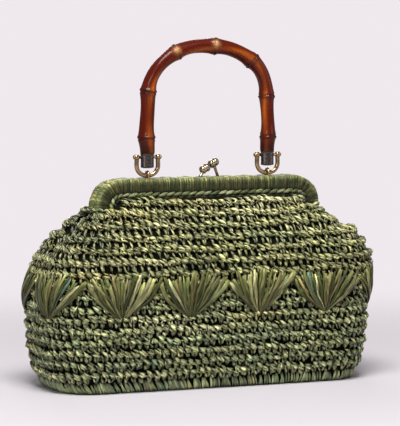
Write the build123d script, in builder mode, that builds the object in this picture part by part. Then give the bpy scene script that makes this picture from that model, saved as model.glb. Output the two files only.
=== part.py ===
from build123d import *
import os
from math import cos, pi, radians, sin

# Handbag of crocheted raffia on a wrapped hinged frame, with a kiss-lock clasp and a bamboo handle.
# Millimetres. Z is up, the front faces -Y, the foot stands on Z = 0 and X runs along the frame.

# Crocheted body: height, half width, half depth and corner radius of its four main outlines.
foot_outline = (0, 146, 50.5, 34)
low_wall_outline = (14, 154.5, 58, 40)
wall_outline = (55, 158.5, 62, 45)
shoulder_height = 110
mouth_outline = (172.7, 108.5, 16.5, 15.5)
roof_bow = 1.45
wall_rows = 11
roof_rows = 6
row_relief = 1.6
wall_thickness = 6
floor_thickness = 5
gusset_notch_x = 88
corner_facets = 6

# Fans of long stitches standing on the crocheted wall.
fan_count = 12
fan_foot_height = 70
fan_top_height = 109
fan_top_drop = 5
fan_half_width = 30.5
fan_strands = 9
fan_thickness = 0.9
fan_relief = 3

# Hinged frame: two U bars, each wound with raffia.
frame_axis_height = 183.2
frame_half_width = 104.5
frame_corner_radius = 18
frame_half_offset = 6.6
bar_width = 9
bar_thickness = 3
wrap_end_height = 162
hinge_height = 125
hinge_lug_diameter = 9
hinge_lug_thickness = 2
hinge_lug_gap = 0.4
hinge_lug_x = 104.5
leg_end_height = 140
rivet_radius = 2
rivet_head_radius = 3.4
rivet_head_height = 1.2
running_clearance = 0.05

# Handle hardware.
handle_half_spacing = 60.5
eye_axis_height = 194.4
wire_sides = 8
eye_wire_radius = 1.2
eye_half_width = 3.6
shackle_wire_radius = 2.1
shackle_half_width = 10.6
shackle_flat = 3
pin_height = 211.2
pin_radius = 1.5
ear_radius = 3
ear_thickness = 3.8
ferrule_width = 12.8
ferrule_depth = 8.5
ferrule_bottom = 200.8
ferrule_flange_radius = 7.2
ferrule_flange_height = 1.2

# Bamboo handle.
bamboo_end_height = 214.6
bamboo_radius = 6.9
bamboo_sides = 16
handle_leg_length = 51.2
handle_rise = 48.5
handle_corner_angle = 50
bamboo_nodes = (14, 57, 104, 143, 184, 222, 260)
node_radius = 8.2
node_edge_radius = 7.4
node_half_length = 4

# Kiss-lock clasp: foot of each finger's stem, and both ends of its bead.
finger_radius = 1.5
bead_radius = 4
front_finger_foot_x = -10.5
front_bead_start = (-7.1, -4.4, 196.6)
front_bead_tip = (2.7, -4.4, 201.8)
rear_finger_foot_x = 16.5
rear_bead_start = (5.2, 4.4, 201.2)
rear_bead_tip = (15, 4.4, 206.4)

# Lining and base board.
board_thickness = 2
lining_gap = 0.3
lining_thickness = 1
lining_top = 160

pieces = {}


def between(low, high, share):
    """Values a given share of the way from one outline to another."""
    return tuple(a + (b - a) * share for a, b in zip(low, high))


def outline(height):
    """Half width, half depth and corner radius of the crocheted body at a height."""
    if height <= low_wall_outline[0]:
        share = height / low_wall_outline[0]
        return between(foot_outline, low_wall_outline, share)[1:]
    if height <= wall_outline[0]:
        share = (height - low_wall_outline[0]) / (wall_outline[0] - low_wall_outline[0])
        return between(low_wall_outline, wall_outline, share)[1:]
    roof_share = max(0, height - shoulder_height) / (mouth_outline[0] - shoulder_height)
    return between(wall_outline, mouth_outline, roof_share**roof_bow)[1:]


def body_ring(height, growth):
    """Points of the body's rounded outline at a height, drawn larger or smaller all round."""
    half_width, half_depth, corner = outline(height)
    points = []
    for across, behind, start in ((1, -1, -90), (1, 1, 0), (-1, 1, 90), (-1, -1, 180)):
        for step in range(corner_facets + 1):
            angle = radians(start + 90 * step / corner_facets)
            point_x = across * (half_width - corner) + (corner + growth) * cos(angle)
            point_y = behind * (half_depth - corner) + (corner + growth) * sin(angle)
            points.append((point_x, point_y, height))
    return points


def faceted_solid(rings):
    """Solid with flat facets between rings of as many points each, closed at both ends."""
    loops = [rings[0], rings[-1]]
    count = len(rings[0])
    for low, high in zip(rings, rings[1:]):
        for place in range(count):
            after = (place + 1) % count
            loops.append((low[place], low[after], high[after], high[place]))
    faces = [Face(Wire.make_polygon(loop)) for loop in loops]
    return Solid(Shell(faces))


def row_stations():
    """Heights and relief down the groove and over the crest of every crocheted row."""
    wall_pitch = shoulder_height / wall_rows
    roof_pitch = (mouth_outline[0] - shoulder_height) / roof_rows
    grooves = [wall_pitch * n for n in range(wall_rows)]
    grooves += [shoulder_height + roof_pitch * n for n in range(roof_rows + 1)]
    stations = [(grooves[0], 0)]
    for low, high in zip(grooves, grooves[1:]):
        stations.append(((low + high) / 2, row_relief))
        stations.append((high, -row_relief))
    return stations


inner_heights = (low_wall_outline[0], wall_outline[0], shoulder_height, 128, 150, lining_top)
hollow_heights = (floor_thickness,) + inner_heights + (mouth_outline[0],)

with BuildPart() as crochet_body:
    add(faceted_solid([body_ring(height, relief) for height, relief in row_stations()]))
    hollow = [body_ring(height, -wall_thickness) for height in hollow_heights]
    add(faceted_solid(hollow), mode=Mode.SUBTRACT)
    # The end gussets stop under the frame legs and the long panels run on up between them.
    for end in (-1, 1):
        with Locations((end * (gusset_notch_x + 30), 0, wrap_end_height - 0.5)):
            Box(60, 80, 40, align=(Align.CENTER, Align.CENTER, Align.MIN), mode=Mode.SUBTRACT)
pieces["crochet_body"] = crochet_body

board_growth = -wall_thickness - 1
with BuildPart() as base_board:
    with BuildSketch(Plane.XY.offset(floor_thickness)):
        Polygon(*[point[:2] for point in body_ring(floor_thickness, board_growth)], align=None)
    extrude(amount=board_thickness)
pieces["base_board"] = base_board

lining_floor = floor_thickness + board_thickness
lining_growth = -wall_thickness - lining_gap
with BuildPart() as lining:
    add(faceted_solid([body_ring(height, lining_growth) for height in (lining_floor,) + inner_heights]))
    cloth_heights = (lining_floor + lining_thickness,) + inner_heights
    hollow = [body_ring(height, lining_growth - lining_thickness) for height in cloth_heights]
    add(faceted_solid(hollow), mode=Mode.SUBTRACT)
pieces["lining"] = lining


def wall_point(along, height, proud):
    """Point on the front half of the wall, measured along it from the front middle."""
    _, half_width, half_depth, corner = wall_outline
    flat = half_width - corner
    turn = corner * pi / 2
    if along < flat:
        return (along, -half_depth - proud, height)
    if along < flat + turn:
        angle = (along - flat) / corner
        reach = corner + proud
        return (flat + reach * sin(angle), corner - half_depth - reach * cos(angle), height)
    return (half_width + proud, corner - half_depth + along - flat - turn, height)


def fan_ring(middle, share, lift, relief):
    """Points across a fan at a share of its height, low between strands and high on them."""
    points = []
    for column in range(2 * fan_strands + 1):
        spread = (column / fan_strands - 1) * fan_half_width
        drop = fan_top_drop * (spread / fan_half_width) ** 2
        height = fan_foot_height + (fan_top_height - drop - fan_foot_height) * share
        inside = 0 < column < 2 * fan_strands
        proud = lift
        if relief and inside:
            proud += fan_thickness
        if relief and column % 2:
            proud += relief
        points.append(wall_point(middle + spread * share, height, proud))
    return points


def fan_of_strands(middle, lift):
    """One fan: strands spreading up the wall from a common foot, as flat facets."""
    foot = wall_point(middle, fan_foot_height, lift)
    back_low = fan_ring(middle, 0.5, lift, 0)
    back_top = fan_ring(middle, 1, lift, 0)
    front_low = fan_ring(middle, 0.5, lift, fan_relief * 0.8)
    front_top = fan_ring(middle, 1, lift, fan_relief * 0.7)
    facets = []
    for column in range(2 * fan_strands):
        after = column + 1
        for low, top in ((front_low, front_top), (back_low, back_top)):
            facets.append((foot, low[column], low[after]))
            facets.append((low[column], top[column], low[after]))
            facets.append((low[after], top[column], top[after]))
        if column:
            facets.append((back_top[column], front_top[column], back_top[after]))
        if after < 2 * fan_strands:
            facets.append((front_top[column], front_top[after], back_top[after]))
    faces = [Face(Wire.make_polygon(corners)) for corners in facets]
    return Solid(Shell(faces))


_, wall_half_width, wall_half_depth, wall_corner = wall_outline
wall_round = 4 * (wall_half_width + wall_half_depth - 2 * wall_corner) + 2 * pi * wall_corner
fan_pitch = wall_round / fan_count
fan_lifts = (row_relief, row_relief + 0.5, row_relief + 0.5)
fan_number = 0
for place, lift in zip((0.5, 1.5, 2.5), fan_lifts):
    quarter_fan = fan_of_strands(place * fan_pitch, lift)
    for across in (-1, 1):
        for behind in (-1, 1):
            fan_number += 1
            with BuildPart() as fan:
                add(quarter_fan)
                if across < 0:
                    mirror(about=Plane.YZ, mode=Mode.REPLACE)
                if behind > 0:
                    mirror(about=Plane.XZ, mode=Mode.REPLACE)
            pieces[f"fan_{fan_number:02d}"] = fan


def frame_path(side, leg_end):
    """Centre line of one frame half: up a leg, across the top and down the other leg."""
    depth = side * frame_half_offset
    with BuildLine(Plane.XZ.offset(-depth)) as path:
        FilletPolyline(
            (-frame_half_width, leg_end),
            (-frame_half_width, frame_axis_height),
            (frame_half_width, frame_axis_height),
            (frame_half_width, leg_end),
            radius=frame_corner_radius,
        )
    return path.wire()


def frame_bar(side):
    """Flat steel bar of one frame half with a hinge lug on each leg."""
    lug_x = hinge_lug_x - side * (hinge_lug_gap + hinge_lug_thickness) / 2
    bore = rivet_radius + (running_clearance if side > 0 else 0)
    rise = leg_end_height + 2 - hinge_height
    reach = side * frame_half_offset
    lug_length = (rise**2 + reach**2) ** 0.5
    lug_angle = 90 - side * 180 / pi * (frame_half_offset / rise)
    with BuildPart() as bar:
        with BuildSketch(Plane((-frame_half_width, reach, leg_end_height))):
            Rectangle(bar_width, bar_thickness)
        sweep(path=frame_path(side, leg_end_height))
        for end in (-1, 1):
            with BuildSketch(Plane.YZ.offset(end * lug_x)):
                with Locations((reach / 2, hinge_height + rise / 2)):
                    SlotCenterToCenter(lug_length, hinge_lug_diameter, rotation=lug_angle)
                with Locations((0, hinge_height)):
                    Circle(bore, mode=Mode.SUBTRACT)
            extrude(amount=hinge_lug_thickness / 2, both=True)
    return bar


front_frame_bar = frame_bar(-1)
rear_frame_bar = frame_bar(1)
pieces["front_frame_bar"] = front_frame_bar
pieces["rear_frame_bar"] = rear_frame_bar

rivet_half_length = hinge_lug_thickness + hinge_lug_gap / 2
with BuildPart() as hinge_rivets:
    for end in (-1, 1):
        with Locations(Location((end * hinge_lug_x, 0, hinge_height), (0, 90, 0))):
            Cylinder(rivet_radius, 2 * rivet_half_length)
            for face in (-1, 1):
                with Locations((0, 0, face * (rivet_half_length + rivet_head_height / 2))):
                    Cylinder(rivet_head_radius, rivet_head_height)
pieces["hinge_rivets"] = hinge_rivets


def frame_eye(end):
    """Round wire eye standing on the front bar, open along the frame for the shackle."""
    depth = -frame_half_offset
    bar_top = frame_axis_height + bar_width / 2
    with BuildPart() as eye:
        with BuildLine(Plane.YZ.offset(end * handle_half_spacing)) as path:
            up = Line((depth - eye_half_width, bar_top), (depth - eye_half_width, eye_axis_height))
            over = JernArc(up @ 1, (0, 1), eye_half_width, -180)
            Line(over @ 1, (depth + eye_half_width, bar_top))
        with BuildSketch(Plane((end * handle_half_spacing, depth - eye_half_width, bar_top))):
            RegularPolygon(eye_wire_radius, wire_sides)
        sweep(path=path.wire())
    return eye


left_frame_eye = frame_eye(-1)
right_frame_eye = frame_eye(1)
pieces["left_frame_eye"] = left_frame_eye
pieces["right_frame_eye"] = right_frame_eye


def clasp_finger(side, foot_x, start, tip):
    """Stem rising from the frame bar to the middle of a barrel bead."""
    foot = Vector(foot_x, side * frame_half_offset, frame_axis_height + bar_width / 2)
    reach = Vector(*tip) - Vector(*start)
    stem = Vector(*start) + reach * 0.5 - foot
    end = reach.length
    with BuildPart() as finger:
        with BuildSketch(Plane(foot, z_dir=stem)):
            Circle(finger_radius)
        extrude(amount=stem.length)
        with BuildSketch(Plane(start, x_dir=reach, z_dir=reach.cross(Vector(0, 1, 0)))):
            with BuildLine():
                Polyline((0, 0), (0, 1.5), (0.7, 2.8), (2.4, bead_radius), (end - 2.4, bead_radius))
                Polyline((end - 2.4, bead_radius), (end - 0.7, 2.8), (end, 1.5), (end, 0), (0, 0))
            make_face()
        revolve(axis=Axis(start, reach))
        split(bisect_by=Plane((0, 0, foot.Z)), keep=Keep.TOP)
    return finger


front_clasp_finger = clasp_finger(-1, front_finger_foot_x, front_bead_start, front_bead_tip)
rear_clasp_finger = clasp_finger(1, rear_finger_foot_x, rear_bead_start, rear_bead_tip)
pieces["front_clasp_finger"] = front_clasp_finger
pieces["rear_clasp_finger"] = rear_clasp_finger


def frame_wrap(side, bar, fittings):
    """Raffia wound on one frame half, with a plaited bead along its inner edge."""
    depth = side * frame_half_offset
    with BuildPart() as wrap:
        with BuildSketch(Plane((-frame_half_width, depth, wrap_end_height))):
            with BuildLine():
                Polyline(
                    (8.5, -6.2 * side),
                    (8.5, 3.5 * side),
                    (9.6, 6.2 * side),
                    (8.2, 8.4 * side),
                    (5.2, 8 * side),
                    (4.4, 6.2 * side),
                    (-4, 6.2 * side),
                    (-6.8, 5 * side),
                    (-8.5, 2 * side),
                    (-8.5, -5 * side),
                    (-7.3, -6.2 * side),
                    close=True,
                )
            make_face()
        sweep(path=frame_path(side, wrap_end_height))
        add(bar.part, mode=Mode.SUBTRACT)
        for fitting in fittings:
            add(fitting.part, mode=Mode.SUBTRACT)
    return wrap


pieces["front_frame_wrap"] = frame_wrap(
    -1, front_frame_bar, (left_frame_eye, right_frame_eye, front_clasp_finger)
)
pieces["rear_frame_wrap"] = frame_wrap(1, rear_frame_bar, (rear_clasp_finger,))


def shackle(end):
    """Horseshoe of round wire hanging in a frame eye, with a bored ear on each arm."""
    middle = end * handle_half_spacing
    bow_radius = shackle_half_width - shackle_flat / 2
    with BuildPart() as horseshoe:
        with BuildLine(Plane.XZ.offset(frame_half_offset)) as path:
            FilletPolyline(
                (middle - shackle_half_width, pin_height),
                (middle - shackle_half_width, eye_axis_height),
                (middle + shackle_half_width, eye_axis_height),
                (middle + shackle_half_width, pin_height),
                radius=bow_radius,
            )
        with BuildSketch(Plane((middle - shackle_half_width, -frame_half_offset, pin_height))):
            RegularPolygon(shackle_wire_radius, wire_sides)
        sweep(path=path.wire())
        for arm in (-1, 1):
            ear_place = (middle + arm * shackle_half_width, -frame_half_offset, pin_height)
            with Locations(Location(ear_place, (0, 90, 0))):
                Cylinder(ear_radius, ear_thickness)
        with Locations(Location((middle, -frame_half_offset, pin_height), (0, 90, 0))):
            Cylinder(pin_radius, 40, mode=Mode.SUBTRACT)
    return horseshoe


def shackle_pin(end):
    """Cross pin with a domed head at each end."""
    ear_face = shackle_half_width + ear_thickness / 2
    head_end = ear_face + 1.6
    with BuildPart() as pin:
        middle = (end * handle_half_spacing, -frame_half_offset, pin_height)
        with BuildSketch(Plane(middle, x_dir=(1, 0, 0), z_dir=(0, -1, 0))):
            with BuildLine():
                Polyline((-head_end, 0), (-head_end, 1.3), (-ear_face - 0.5, 2.5), (-ear_face, 2.5))
                Polyline((-ear_face, 2.5), (-ear_face, pin_radius), (ear_face, pin_radius))
                Polyline((ear_face, pin_radius), (ear_face, 2.5), (ear_face + 0.5, 2.5))
                Polyline((ear_face + 0.5, 2.5), (head_end, 1.3), (head_end, 0), (-head_end, 0))
            make_face()
        revolve(axis=Axis(middle, (1, 0, 0)))
    return pin


def ferrule(end):
    """Oval metal end of the handle, flanged under the bamboo and bored for the pin."""
    middle = end * handle_half_spacing
    with BuildPart() as block:
        with BuildSketch(Plane((middle, -frame_half_offset, ferrule_bottom))):
            Ellipse(ferrule_width / 2, ferrule_depth / 2)
        extrude(amount=bamboo_end_height - ferrule_bottom)
        fillet(block.faces().sort_by(Axis.Z)[0].edges(), 1)
        with Locations((middle, -frame_half_offset, bamboo_end_height - ferrule_flange_height)):
            Cylinder(
                ferrule_flange_radius,
                ferrule_flange_height,
                align=(Align.CENTER, Align.CENTER, Align.MIN),
            )
        with Locations(Location((middle, -frame_half_offset, pin_height), (0, 90, 0))):
            Cylinder(pin_radius + running_clearance, 30, mode=Mode.SUBTRACT)
    return block


for name, end in (("left", -1), ("right", 1)):
    pieces[f"{name}_shackle"] = shackle(end)
    pieces[f"{name}_shackle_pin"] = shackle_pin(end)
    pieces[f"{name}_ferrule"] = ferrule(end)

# The arch is two corner arcs and one crown arc that meet tangentially.
turn = radians(handle_corner_angle)
crown_radius = (handle_half_spacing * sin(turn) - handle_rise * (1 - cos(turn))) / (
    sin(turn) + cos(turn) - 1
)
corner_arc_radius = (handle_rise - crown_radius * (1 - sin(turn))) / sin(turn)


def cane_ring(place, radius):
    """Many-sided section of the cane, of a given radius."""
    with BuildSketch(place) as section:
        RegularPolygon(radius, bamboo_sides)
    return section.sketch


with BuildPart() as bamboo_handle:
    with BuildLine(Plane.XZ.offset(frame_half_offset)) as arch:
        left_leg = Line(
            (-handle_half_spacing, bamboo_end_height),
            (-handle_half_spacing, bamboo_end_height + handle_leg_length),
        )
        left_corner = JernArc(left_leg @ 1, left_leg % 1, corner_arc_radius, -handle_corner_angle)
        crown = JernArc(left_corner @ 1, left_corner % 1, crown_radius, 2 * handle_corner_angle - 180)
        right_corner = JernArc(crown @ 1, crown % 1, corner_arc_radius, -handle_corner_angle)
        Line(right_corner @ 1, (handle_half_spacing, bamboo_end_height))
    with BuildSketch(Plane((-handle_half_spacing, -frame_half_offset, bamboo_end_height))):
        RegularPolygon(bamboo_radius, bamboo_sides)
    sweep(path=arch.wire())
    handle_line = arch.wire()
    for station in bamboo_nodes:
        share = station / handle_line.length
        middle = handle_line @ share
        for direction in (handle_line % share, -(handle_line % share)):
            ring_middle = Plane(middle, x_dir=(0, 1, 0), z_dir=direction)
            ring_edge = ring_middle.offset(node_half_length)
            loft([cane_ring(ring_middle, node_radius), cane_ring(ring_edge, node_edge_radius)], ruled=True)
pieces["bamboo_handle"] = bamboo_handle

os.makedirs("parts", exist_ok=True)
for name, piece in pieces.items():
    piece.part.label = name
    export_step(piece.part, f"parts/{name}.step")
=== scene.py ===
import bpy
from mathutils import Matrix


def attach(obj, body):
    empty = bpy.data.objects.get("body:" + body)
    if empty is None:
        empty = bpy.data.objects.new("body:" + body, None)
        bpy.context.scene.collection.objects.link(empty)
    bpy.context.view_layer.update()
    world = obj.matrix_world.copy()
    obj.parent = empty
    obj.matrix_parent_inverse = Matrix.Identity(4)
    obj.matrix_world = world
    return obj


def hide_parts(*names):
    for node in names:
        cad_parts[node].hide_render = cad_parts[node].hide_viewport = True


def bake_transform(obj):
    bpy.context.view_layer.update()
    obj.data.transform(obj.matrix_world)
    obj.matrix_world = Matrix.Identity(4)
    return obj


bl_info = {
    "name": "Crocheted Raffia Handbag",
    "version": (1, 0, 0),
    "blender": (4, 5, 0),
    "location": "3D View > Sidebar > Raffia Bag",
    "description": "Dresses the CAD frame of a crocheted raffia handbag with a bamboo handle",
    "category": "Object",
}

import bpy
import numpy as np
from mathutils import Vector

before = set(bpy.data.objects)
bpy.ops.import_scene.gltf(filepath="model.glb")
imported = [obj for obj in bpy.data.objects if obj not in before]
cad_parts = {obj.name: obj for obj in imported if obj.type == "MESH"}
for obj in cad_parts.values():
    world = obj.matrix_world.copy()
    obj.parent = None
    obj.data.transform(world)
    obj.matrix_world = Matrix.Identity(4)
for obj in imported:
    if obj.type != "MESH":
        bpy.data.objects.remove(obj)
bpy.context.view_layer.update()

# Lengths below are millimetres, as in the CAD source, and become metres when a mesh is made.
MM = 0.001

# Height, half width, half depth and corner radius of the crocheted body's main outlines.
WALL_OUTLINES = np.array(
    [(0, 146, 50.5, 34), (14, 151.5, 55.5, 38), (32, 156, 60, 43), (55, 158.5, 62, 45), (110, 158.5, 62, 45)]
)
SHOULDER_HEIGHT = 110
MOUTH_OUTLINE = np.array((108.5, 16.5, 15.5))
MOUTH_HEIGHT = 172.7
ROOF_BOW = 1.45
WALL_ROWS = 11
ROOF_ROWS = 6
ROW_PITCH = SHOULDER_HEIGHT / WALL_ROWS
ROOF_PITCH = (MOUTH_HEIGHT - SHOULDER_HEIGHT) / ROOF_ROWS
BAG_SIDES = 180
GUSSET_TOP = 161.5
GUSSET_NOTCH_X = 88
FAN_COUNT = 12
FAN_FOOT = 68
FAN_TOP = 106.5
FAN_REACH = 33.5
FAN_WAIST = 1.2

# Frame, hardware and handle.
FRAME_AXIS = 183.2
FRAME_TOP = 187.7
FRAME_HALF_WIDTH = 104.5
FRAME_CORNER = 18
FRAME_OFFSET = 6.6
WRAP_END = 162
WOUND_HALF_WIDTH = 8.0
WOUND_HALF_DEPTH = 5.7
PLAIT_MARGIN = 4
# Foot of each clasp finger, and the two ends of its barrel.
FRONT_FINGER = ((-10.5, -FRAME_OFFSET, FRAME_TOP), (-7.1, -4.4, 196.6), (2.7, -4.4, 201.8))
REAR_FINGER = ((16.5, FRAME_OFFSET, FRAME_TOP), (5.2, 4.4, 201.2), (15, 4.4, 206.4))
BARREL_RADIUS = 4.0
WAIST_RADIUS = 3.6
HANDLE_HALF_SPACING = 60.5
EYE_AXIS = 194.4
EYE_RADIUS = 3.6
EYE_WIRE = 1.2
PIN_HEIGHT = 211.2
PIN_RADIUS = 1.5
PIN_HEAD = 1.6
PIN_HEAD_RADIUS = 2.2
SHACKLE_HALF_WIDTH = 10.6
SHACKLE_FLAT = 3
SHACKLE_WIRE = 2.1
EAR_HALF = 1.9
EAR_RADIUS = 2.8
FERRULE_BOTTOM = 200.8
FERRULE_WIDTH = 12.8
FERRULE_DEPTH = 8.5
BAMBOO_END = 214.6
HANDLE_LEG = 51.2
HANDLE_RISE = 48.5
HANDLE_TURN = np.radians(50)
# The cane's radius, the radius on which its grain and scars are laid out, and its nodes' places along it.
CANE_RADIUS = 6.4
GRAIN_RADIUS = 6.5
SCAR_SIZE = 3.0
BAMBOO_NODES = np.array((14, 57, 104, 143, 184, 222, 260))

# The soft wall has settled this far to the left of the frame, fully below the second of these heights and not
# at all above the first.
SETTLED = 7
SETTLED_HEIGHTS = (130, 75)

# Share by which the roof's ends are drawn in towards the frame, and the heights between which that begins.
DRAWN_IN = 0.045
DRAWN_IN_HEIGHTS = (138, 153)

# Depth to which the gusset at each end folds in under the frame, the fold's half width, and the heights
# between which it begins and ends.
LEFT_FOLD = 16
RIGHT_FOLD = 9
FOLD_HALF_WIDTH = 11
FOLD_BEGINS = (116, 138)
FOLD_ENDS = (162, 149)

# Depth to which the right end has sunk, and the heights between which that begins and ends.
RIGHT_SUNK = 6.5
SUNK_BEGINS = (136, 147)
SUNK_ENDS = (172, 163)

# Stitches worked from one length of raffia before its dye changes.
LENGTH_STITCHES = 7

# Strands take their streaks from anywhere within this length of raffia.
FIBRE_SPREAD = 400

# Direction from the bag's front to its back.
DEPTHWAYS = np.array((0.0, 1.0, 0.0))


def linear(code):
    """Linear colour of an sRGB hex code.

    Each channel c becomes c / 12.92 where it is dark, and ((c + 0.055) / 1.055) to the power 2.4 elsewhere.
    """
    channels = np.array([int(code[place : place + 2], 16) for place in (1, 3, 5)]) / 255
    bright = ((channels + 0.055) / 1.055) ** 2.4
    return tuple(float(c) for c in np.where(channels <= 0.04045, channels / 12.92, bright))


def turn_with_frame(piece):
    """Bake a piece's place into its mesh, which then stays at the origin."""
    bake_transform(piece)


def unit(vectors):
    """Vectors divided by their own length."""
    return vectors / np.linalg.norm(vectors, axis=-1, keepdims=True)


def smooth_step(low, high, value):
    """Rises from 0 at low to 1 at high as 3 t squared less 2 t cubed."""
    share = np.clip((value - low) / (high - low), 0, 1)
    return share * share * (3 - 2 * share)


def full_turn(sides):
    """Angles of evenly spaced places round a full turn."""
    return np.linspace(0, 2 * np.pi, sides, endpoint=False)


def either_way(generator, *shape):
    """Random numbers from -1 to 1."""
    return generator.random(shape) * 2 - 1


# Shapes of the bag.


def outline(height):
    """Half width, half depth and corner radius of the body at each height.

    Straight lines between the wall's outlines, then from the shoulder to the mouth by the share of the
    roof's height to the power of its bow.
    """
    wall = np.stack([np.interp(height, WALL_OUTLINES[:, 0], WALL_OUTLINES[:, n]) for n in (1, 2, 3)], -1)
    share = np.clip((height - SHOULDER_HEIGHT) / (MOUTH_HEIGHT - SHOULDER_HEIGHT), 0, 1.1) ** ROOF_BOW
    return wall + (MOUTH_OUTLINE - wall) * np.asarray(share)[..., None]


def gusset_fold(y, height):
    """Share of the gusset's full fold: a bell curve across the end, times smooth steps up from the wall and
    down below the frame."""
    rise = smooth_step(*FOLD_BEGINS, height) * smooth_step(*FOLD_ENDS, height)
    return rise * np.exp(-((y / FOLD_HALF_WIDTH) ** 2))


def bag_point(share, height, growth=0.0):
    """Point of the body: share of the way round from the front middle towards +X, at a height.

    A rounded rectangle: the corner's centre slides along the flats while the angle stands still, and the
    angle turns a quarter at each corner. The point lies a corner radius from that centre, and the whole
    ring has settled to the left by a smooth step from above the shoulder down to the fans' feet. Near the
    mouth the ring is drawn in lengthwise by a smooth step, and below it the middle of each end folds in as a
    bell curve across the end and the right end sinks in by smooth steps.
    """
    share, height, growth = np.broadcast_arrays(share, height, growth)
    half_width, half_depth, corner = np.moveaxis(outline(height), -1, 0)
    flat_x, flat_y, quarter = half_width - corner, half_depth - corner, corner * np.pi / 2
    run = np.mod(share, 1) * (4 * flat_x + 4 * flat_y + 4 * quarter)
    first = flat_x
    second = first + quarter + 2 * flat_y
    third = second + quarter + 2 * flat_x
    fourth = third + quarter + 2 * flat_y
    turned = sum(np.clip(run - start, 0, quarter) for start in (first, second, third, fourth)) / corner
    x = np.clip(run, 0, flat_x) - np.clip(run - second - quarter, 0, 2 * flat_x)
    x = x + np.clip(run - fourth - quarter, 0, flat_x)
    y = np.clip(run - first - quarter, 0, 2 * flat_y) - flat_y
    y = y - np.clip(run - third - quarter, 0, 2 * flat_y)
    reach = corner + growth
    x = x + reach * np.sin(turned)
    y = y - reach * np.cos(turned)
    folded = gusset_fold(y, height) * smooth_step(0.6, 0.9, np.abs(x) / half_width)
    x = x - np.where(x < 0, -LEFT_FOLD, RIGHT_FOLD) * folded
    sunken = RIGHT_SUNK * smooth_step(*SUNK_BEGINS, height) * smooth_step(*SUNK_ENDS, height)
    x = x - sunken * smooth_step(0.3, 0.9, x / half_width)
    x = x * (1 - DRAWN_IN * smooth_step(*DRAWN_IN_HEIGHTS, height))
    x = x - SETTLED * smooth_step(*SETTLED_HEIGHTS, height)
    return np.stack((x, y, height + 0 * share), -1)


def bag_directions(share, height):
    """Directions along the row, up the wall and outwards, from small steps along the body's surface."""
    along = unit(bag_point(share + 2e-4, height) - bag_point(share - 2e-4, height))
    climb = bag_point(share, height + 0.5) - bag_point(share, height - 0.5)
    out = unit(np.cross(along, climb))
    return along, np.cross(out, along), out


def row_length(height):
    """Length of one round of crochet at a height: the rounded rectangle's flats and quarter turns."""
    half_width, half_depth, corner = outline(np.asarray(height, float))
    return 4 * (half_width + half_depth - 2 * corner) + 2 * np.pi * corner


def quads_of_tubes(points):
    """Quads of many tubes, each a grid of stations by sides that closes round and has a lid at both ends."""
    count, stations, sides = points.shape[:3]
    index = np.arange(count * stations * sides).reshape(count, stations, sides)
    after = np.roll(index, -1, axis=2)
    walls = np.stack((index[:, :-1], after[:, :-1], after[:, 1:], index[:, 1:]), -1)
    half = np.arange(sides // 2 - 1)
    lid = np.stack((half, half + 1, sides - 2 - half, sides - 1 - half), -1)
    far = index[:, -1][:, lid]
    near = index[:, 0][:, lid[:, ::-1]]
    return np.concatenate([part.reshape(-1, 4) for part in (walls, near, far)])


def tubes(centre, out, half_width, half_thick, sides=6, power=1.0):
    """Points of many flattened tubes and their places in the strand.

    Every station of a centre line carries an ellipse square to the line: half_width lies in the surface and
    half_thick stands away from it. The cosine and sine are raised to a power, and under 1 that squares the
    ellipse to a ribbon. The second result is the place across, away and along in millimetres.
    """
    step = np.gradient(centre, axis=1)
    run = unit(step)
    across = unit(np.cross(np.broadcast_to(out, run.shape), run))
    away = np.cross(run, across)
    turn = full_turn(sides)
    cosine, sine = (np.sign(wave) * np.abs(wave) ** power for wave in (np.cos(turn), np.sin(turn)))
    sideways = np.asarray(half_width)[..., None] * cosine
    upwards = np.asarray(half_thick)[..., None] * sine
    points = centre[:, :, None] + across[:, :, None] * sideways[..., None]
    points = points + away[:, :, None] * upwards[..., None]
    along = np.cumsum(np.linalg.norm(step, axis=-1), axis=1)[..., None] + 0 * sideways
    return points, np.stack((sideways, upwards, along), -1)


# Meshes and materials.


def put_piece(name, material, points, quads, dye_and_painted_light=None, fibre=None):
    """Mesh object at the origin from points in millimetres and quads, with its colour attribute (dye and
    painted light) and its fibre attribute.
    """
    mesh = bpy.data.meshes.new(name)
    flat = np.ascontiguousarray(points, float).reshape(-1, 3)
    mesh.vertices.add(len(flat))
    mesh.vertices.foreach_set("co", (flat * MM).ravel())
    mesh.loops.add(quads.size)
    mesh.loops.foreach_set("vertex_index", quads.astype(np.int32).ravel())
    mesh.polygons.add(len(quads))
    mesh.polygons.foreach_set("loop_start", np.arange(0, quads.size, 4, dtype=np.int32))
    mesh.update(calc_edges=True)
    mesh.polygons.foreach_set("use_smooth", np.ones(len(quads), bool))
    if dye_and_painted_light is not None:
        colour = np.ones((len(flat), 4), np.float32)
        colour[:, :3] = np.broadcast_to(dye_and_painted_light, points.shape[:-1] + (3,)).reshape(-1, 3)
        mesh.attributes.new("dye_and_painted_light", "FLOAT_COLOR", "POINT").data.foreach_set("color", colour.ravel())
    if fibre is not None:
        place = np.ascontiguousarray(fibre, np.float32).reshape(-1, 3)
        mesh.attributes.new("fibre", "FLOAT_VECTOR", "POINT").data.foreach_set("vector", place.ravel())
    mesh.materials.append(material)
    piece = bpy.data.objects.new(name, mesh)
    bpy.context.scene.collection.objects.link(piece)
    return piece


def paint_solid(name, material):
    """Give a material to a CAD piece that keeps its shape."""
    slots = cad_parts[name].data.materials
    slots.clear()
    slots.append(material)


def joined(parts):
    """One set of points, quads, colours (dye and painted light) and fibre from several, each with its quads
    counted on.
    """
    points, quads, dyes, fibres, start = [], [], [], [], 0
    for part_points, part_quads, dye_and_painted_light, fibre in parts:
        points.append(part_points.reshape(-1, 3))
        quads.append(part_quads + start)
        dyes.append(np.broadcast_to(dye_and_painted_light, part_points.shape).reshape(-1, 3))
        fibres.append(np.broadcast_to(fibre, part_points.shape).reshape(-1, 3))
        start += len(points[-1])
    return [np.concatenate(group) for group in (points, quads, dyes, fibres)]


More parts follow.
